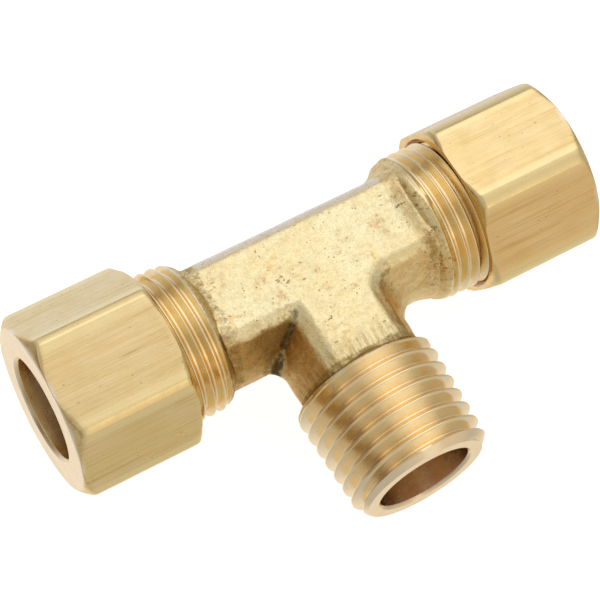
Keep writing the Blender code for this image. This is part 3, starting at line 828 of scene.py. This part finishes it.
def tee_masks(me):
    p = coordinates(me)
    normal = np.empty(len(me.vertices) * 3)
    me.vertices.foreach_get("normal", normal)
    normal = normal.reshape(-1, 3)
    x, y, z = p[:, 0], p[:, 1], p[:, 2] - AXIS_Z
    ax, ay, az = np.abs(x), -y, np.abs(z)
    r_run, r_br = np.hypot(y, z), np.hypot(x - BRANCH_X, z)
    ragged = np.where(x > 0, 11.55 + 0.35 * np.sin(3.1 * np.arctan2(z, y) + 0.7), 11.15)
    machined = np.maximum(smooth01((ax - ragged) / 0.25), smooth01((ay - 11.0) / 0.2))
    bore = np.maximum((r_run < 5.0) & (ax > 3), (r_br < 4.6) & (ay > 3)).astype(float)
    bore = np.maximum(bore, ((r_run < 4.02) | ((r_br < 4.02) & (y < 4.0) & (ay > -4.0))).astype(float))
    machined = np.maximum(machined, bore)
    forging = 1 - machined
    # Painted shade: faces turned away from straight up, and the right shoulder, take the darker flank colour.
    side = smooth01((0.80 - np.abs(normal[:, 2])) / 0.25) * forging
    side = np.maximum(side, 0.75 * smooth01((x - 9.0) / 0.8) * forging)
    # Painted shade: the front flank of the left arm and the left flank of the neck are painted darkest.
    left_front = smooth01((1.0 - x) / 2.0) * smooth01((ay - 2.0) / 1.5)
    on_neck = smooth01((ay - 5.6) / 0.8)
    middle = np.exp(-((ay - 8.0) / 1.15) ** 2) * np.exp(-((z - 1.2) / 2.2) ** 2)
    flank_shade = side * left_front * (1 - on_neck * (0.30 + 0.55 * middle))
    # Signed distance along the flanks from where arm and neck meet: below zero on the arm.
    run, neck = arms(x, y, z)
    along = run - neck
    hollow = smooth01((1.4 - np.minimum(run, neck)) / 0.5) * smooth01((ay - 2.6) / 0.6)
    wander = along + 0.08 * np.sin(z * 2.3 + 0.6)
    left = (x < 0) * hollow * smooth01((5.74 - z) / 0.30)
    # Painted shade along the crease where the left arm meets the neck.
    crease = left * np.exp(-(wander / (0.52 + 0.38 * smooth01((3.2 - z) / 2.5))) ** 2) * (0.80 + 0.14 * np.sin(z * 1.9 + 1.0))
    arm_side = smooth01((-along + 0.3) / 0.5) * (1 - smooth01((-along - 1.15) / 0.6))
    neck_side = smooth01((along + 0.3) / 0.5) * (1 - smooth01((along - 0.35) / 0.5))
    # Patina and painted shade beside the left crease, on the arm and neck flanks and along the flash line.
    flash = smooth01((x + 7.55) / 0.12) * (along < 0) * (ay > 3.9) * smooth01((z - 0.6) / 1.5)
    patina_and_shade = left * np.maximum(np.maximum(0.80 * arm_side, 0.60 * neck_side), 0.50 * flash) * np.clip(side + 0.5, 0, 1)
    # Patina and painted shade on the left shoulder, the collar and round the right pocket, then along the front bevels.
    shoulder = smooth01((ax - 9.25) / 0.6) * (1 - smooth01((ax - ragged) / 0.4))
    patina_and_shade = np.maximum(patina_and_shade, shoulder * np.where(x < 0, 0.52, 0.10))
    pocket = np.exp(-(((x - 10.4) / 0.7) ** 2 + ((y + 4.3) / 1.2) ** 2)) * 0.85
    patina_and_shade = np.maximum(patina_and_shade, pocket)
    collar = smooth01((ay - 9.95) / 0.4) * (1 - smooth01((ay - 11.2) / 0.3)) * smooth01((ay - ax) / 2)
    patina_and_shade = np.maximum(patina_and_shade, collar * 0.72)
    bevel = np.exp(-((normal[:, 2] - 0.68) / 0.17) ** 2) * forging
    right_edge = bevel * smooth01((x - 1.5) / 0.8) * smooth01((7.2 - x) / 2.0) * smooth01((ay - 3.2) / 0.5)
    patina_and_shade = np.maximum(patina_and_shade, right_edge * 0.78)
    patina_and_shade = np.maximum(patina_and_shade, bevel * smooth01(-(x + 1.5) / 0.8) * smooth01((ay - 3.2) / 0.5) * 0.10)
    # Painted highlight along the upper bevels of the arms.
    lit = bevel * (1 - smooth01((x - 0.5) / 1.5) * smooth01((ay - 3.0) / 0.5)) * smooth01((9.6 - ax) / 0.6) * smooth01((10.2 - ay) / 0.6)
    lit *= (z > 0) * (1 - 0.6 * smooth01((ay - 5.2) / 0.6))
    specked = smooth01((x - 8.3) / 1.2) * smooth01((3.5 - y) / 3.0) * smooth01((z + 1.0) / 3.0)
    blanch = smooth01((ay - 11.3) / 0.5)
    patina_and_shade *= 1 - bore
    strokes = smooth01((ay - 7.6) / 2.0) * forging
    set_attribute(me, "machined", machined)
    set_attribute(me, "side", side * (1 - bore))
    set_attribute(me, "flank_shade", flank_shade * (1 - bore))
    # The bores take a little painted shade through the patina mask as well.
    set_attribute(me, "patina_and_shade", patina_and_shade * forging + 0.22 * bore)
    set_attribute(me, "crease", crease * forging)
    set_attribute(me, "strokes", strokes)
    set_attribute(me, "specked", specked * forging)
    set_attribute(me, "lit", lit)
    # Painted pale reflection on the back bevel.
    set_attribute(me, "cool", lit * smooth01((y - 1.0) / 1.0))
    stain, tick = np.zeros(len(p)), np.zeros(len(p))
    for sx, sy, width, kind in STAINS:
        spot = np.exp(-(((x - sx) ** 2 + (y - sy) ** 2) / width ** 2)) * (z > 4.5)
        if kind:
            tick = np.maximum(tick, spot)
        else:
            stain = np.maximum(stain, spot)
    set_attribute(me, "stain", stain)
    set_attribute(me, "tick", tick)
    # The branch bore gets the full mask for its painted shade.
    set_attribute(me, "blanch", blanch * (1 + bore) / 2)
    # Crest mask for the painted highlight on the thread crests.
    branch_crest = NPT_CREST_R - (ay - NPT_START) * NPT_TAPER
    crest = np.maximum(smooth01((r_run - 6.98) / 0.06) * (ax > 11.3), smooth01((r_br - branch_crest + 0.12) / 0.06) * (ay > 11.5))
    set_attribute(me, "crest", crest)


def nut_masks(me, side, face):
    p = coordinates(me)
    h = p[:, 0] * side
    r = np.hypot(p[:, 1], p[:, 2] - AXIS_Z)
    flat = ((r > 7.74) & (h < face - 0.12) & (h > face - NUT_LENGTH + 0.15)).astype(float)
    set_attribute(me, "flats", flat)
    # Mask for the bore's painted light, growing deeper in.
    set_attribute(me, "bore", (r < 7.45).astype(float) * smooth01((face - 0.2 - h) / 1.5))
    # Mask for the end faces' painted reflection.
    set_attribute(me, "face", smooth01((h - (face - 0.16)) / 0.12) * smooth01((r - 4.95) / 0.1) * smooth01((7.95 - r) / 0.2))
    # Mask for the corners' painted highlight.
    set_attribute(me, "corner", smooth01((r - 8.30) / 0.25))


def finish_piece(ob, body, node, material, sharp=38):
    me = ob.data
    me.transform(Matrix.Scale(MM, 4))
    me.materials.clear()
    me.materials.append(material)
    me.polygons.foreach_set("use_smooth", np.ones(len(me.polygons), bool))
    me.set_sharp_from_angle(angle=math.radians(sharp))
    ob.name = me.name = ob.name
    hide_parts(node)
    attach(ob, body)


tee_masks(tee.data)
nut_masks(left_nut.data, -1, LEFT_NUT_FACE)
nut_masks(right_nut.data, 1, RIGHT_NUT_FACE)
forged, drawn, bright = forged_material(), drawn_material(), turned_material()
finish_piece(tee, "tee", "tee_body", forged, 42)
finish_piece(left_nut, "left_nut", "left_compression_nut", drawn)
finish_piece(right_nut, "right_nut", "right_compression_nut", drawn)
finish_piece(left_sleeve, "left_sleeve_carrier", "left_sleeve", bright)
finish_piece(right_sleeve, "right_sleeve_carrier", "right_sleeve", bright)


# ---------------------------------------------------------------- stage
floor_mesh = bpy.data.meshes.new("studio_floor")
fbm = bmesh.new()
bmesh.ops.create_grid(fbm, x_segments=1, y_segments=1, size=1.5)
fbm.to_mesh(floor_mesh)
fbm.free()
floor = linked("studio_floor", floor_mesh)
floor.location = (0, 0, (AXIS_Z - 8.98) * MM)
fmat = bpy.data.materials.new("floor_white")
fmat.use_nodes = True
fb = fmat.node_tree.nodes["Principled BSDF"]
fb.inputs["Base Color"].default_value = (0.50, 0.53, 0.58, 1)
fb.inputs["Roughness"].default_value = 0.9
fb.inputs["Specular IOR Level"].default_value = 0.0
fb.inputs["Emission Color"].default_value = (1, 1, 1, 1)
fb.inputs["Emission Strength"].default_value = 0.84
floor.data.materials.append(fmat)
floor.visible_glossy = False

world = bpy.data.worlds.new("studio")
bpy.context.scene.world = world
world.use_nodes = True
wn = Nodes(world.node_tree)
background = world.node_tree.nodes["Background"]
direction = wn.add("ShaderNodeTexCoord").outputs["Generated"]


def lobe(axis, inner, outer, level):
    """Soft round patch of light about a direction; inner and outer are its half angles in degrees."""
    v = Vector(axis).normalized()
    dot = wn.add("ShaderNodeVectorMath", operation="DOT_PRODUCT")
    wn.set(dot.inputs[0], direction)
    dot.inputs[1].default_value = v
    return wn.span(dot.outputs["Value"], math.cos(math.radians(outer)), math.cos(math.radians(inner)), 0.0, level)


def patch(colour, axis, inner, outer):
    """The lobe as a coloured light."""
    node = wn.add("ShaderNodeVectorMath", operation="SCALE")
    node.inputs[0].default_value = colour
    wn.set(node.inputs["Scale"], lobe(axis, inner, outer, 1.0))
    return node.outputs[0]


def added(a, b):
    node = wn.add("ShaderNodeVectorMath", operation="ADD")
    wn.set(node.inputs[0], a)
    wn.set(node.inputs[1], b)
    return node.outputs[0]


# Studio surroundings: bright soft ceiling towards the back, paler cool light from the white table,
# and a dimmer room in front.
light = patch((0.56, 0.565, 0.62), (0.34, 0.40, 0.86), 5, 47)
light = added(light, patch((0.28, 0.31, 0.43), (0.0, 0.55, -0.84), 10, 70))
light = added(light, patch((0.19, 0.11, 0.04), (0.38, -0.92, 0.05), 10, 50))
light = added(light, patch((0.22, 0.21, 0.23), (0.30, -0.30, -0.90), 8, 45))
light = added(light, patch((0.13, 0.15, 0.22), (0.0, 0.95, -0.3), 10, 55))
light = added(light, patch((-0.28, -0.31, -0.34), (-0.94, 0.28, 0.17), 8, 25))
light = added(light, patch((-0.22, -0.25, -0.28), (-0.85, -0.51, 0.10), 8, 28))
light = added(light, patch((-0.22, -0.25, -0.28), (-0.62, 0.76, -0.15), 8, 28))
light = added(light, patch((-0.25, -0.28, -0.32), (0.29, 0.89, 0.36), 4, 13))
light = added(light, patch((-0.03, 0.05, 0.28), (0.28, 0.82, -0.48), 10, 34))
light = added(light, patch((0.20, 0.19, 0.17), (0.29, -0.68, 0.67), 5, 22))
light = added(light, patch((0.24, 0.23, 0.20), (0.29, -0.76, 0.58), 4, 14))
light = added(light, patch((0.20, 0.19, 0.17), (0.29, -0.38, 0.88), 3, 22))
light = added(light, patch((0.25, 0.20, 0.11), (-0.76, 0.34, 0.55), 4, 18))
light = added(light, patch((-0.03, 0.01, 0.03), (0.29, -0.76, -0.58), 10, 30))
light = added(light, patch((0.16, 0.13, 0.06), (-0.29, 0.34, -0.89), 5, 26))
light = added(light, patch((0.20, 0.20, 0.18), (0.28, -0.88, 0.38), 5, 16))
ambient = wn.add("ShaderNodeVectorMath", operation="ADD")
ambient.inputs[1].default_value = (0.50, 0.49, 0.48)
wn.set(ambient.inputs[0], light)
wn.set(background.inputs["Color"], ambient.outputs[0])
background.inputs["Strength"].default_value = 1.0


def soft_light(name, location, target, size, energy):
    data = bpy.data.lights.new(name, "AREA")
    data.shape = "DISK"
    data.size = size
    data.energy = energy
    ob = bpy.data.objects.new(name, data)
    bpy.context.scene.collection.objects.link(ob)
    ob.location = location
    ob.rotation_euler = (Vector(target) - Vector(location)).to_track_quat("-Z", "Y").to_euler()
    return ob


soft_light("key_soft", (0.15, 0.20, 0.50), (0, 0, 0), 0.30, 0.04)

cam_data = bpy.data.cameras.new("camera")
cam_data.sensor_width = 36
cam_data.lens = 156.7364
cam_data.clip_start = 0.01
cam_data.clip_end = 10
camera = bpy.data.objects.new("camera", cam_data)
bpy.context.scene.collection.objects.link(camera)
camera.location = (-0.06893157, -0.08060309, 0.21644623)
camera.rotation_euler = (math.radians(25.89078), math.radians(-5.029636), math.radians(-30.312515))
bpy.context.scene.camera = camera
bpy.context.scene.view_settings.view_transform = "Standard"
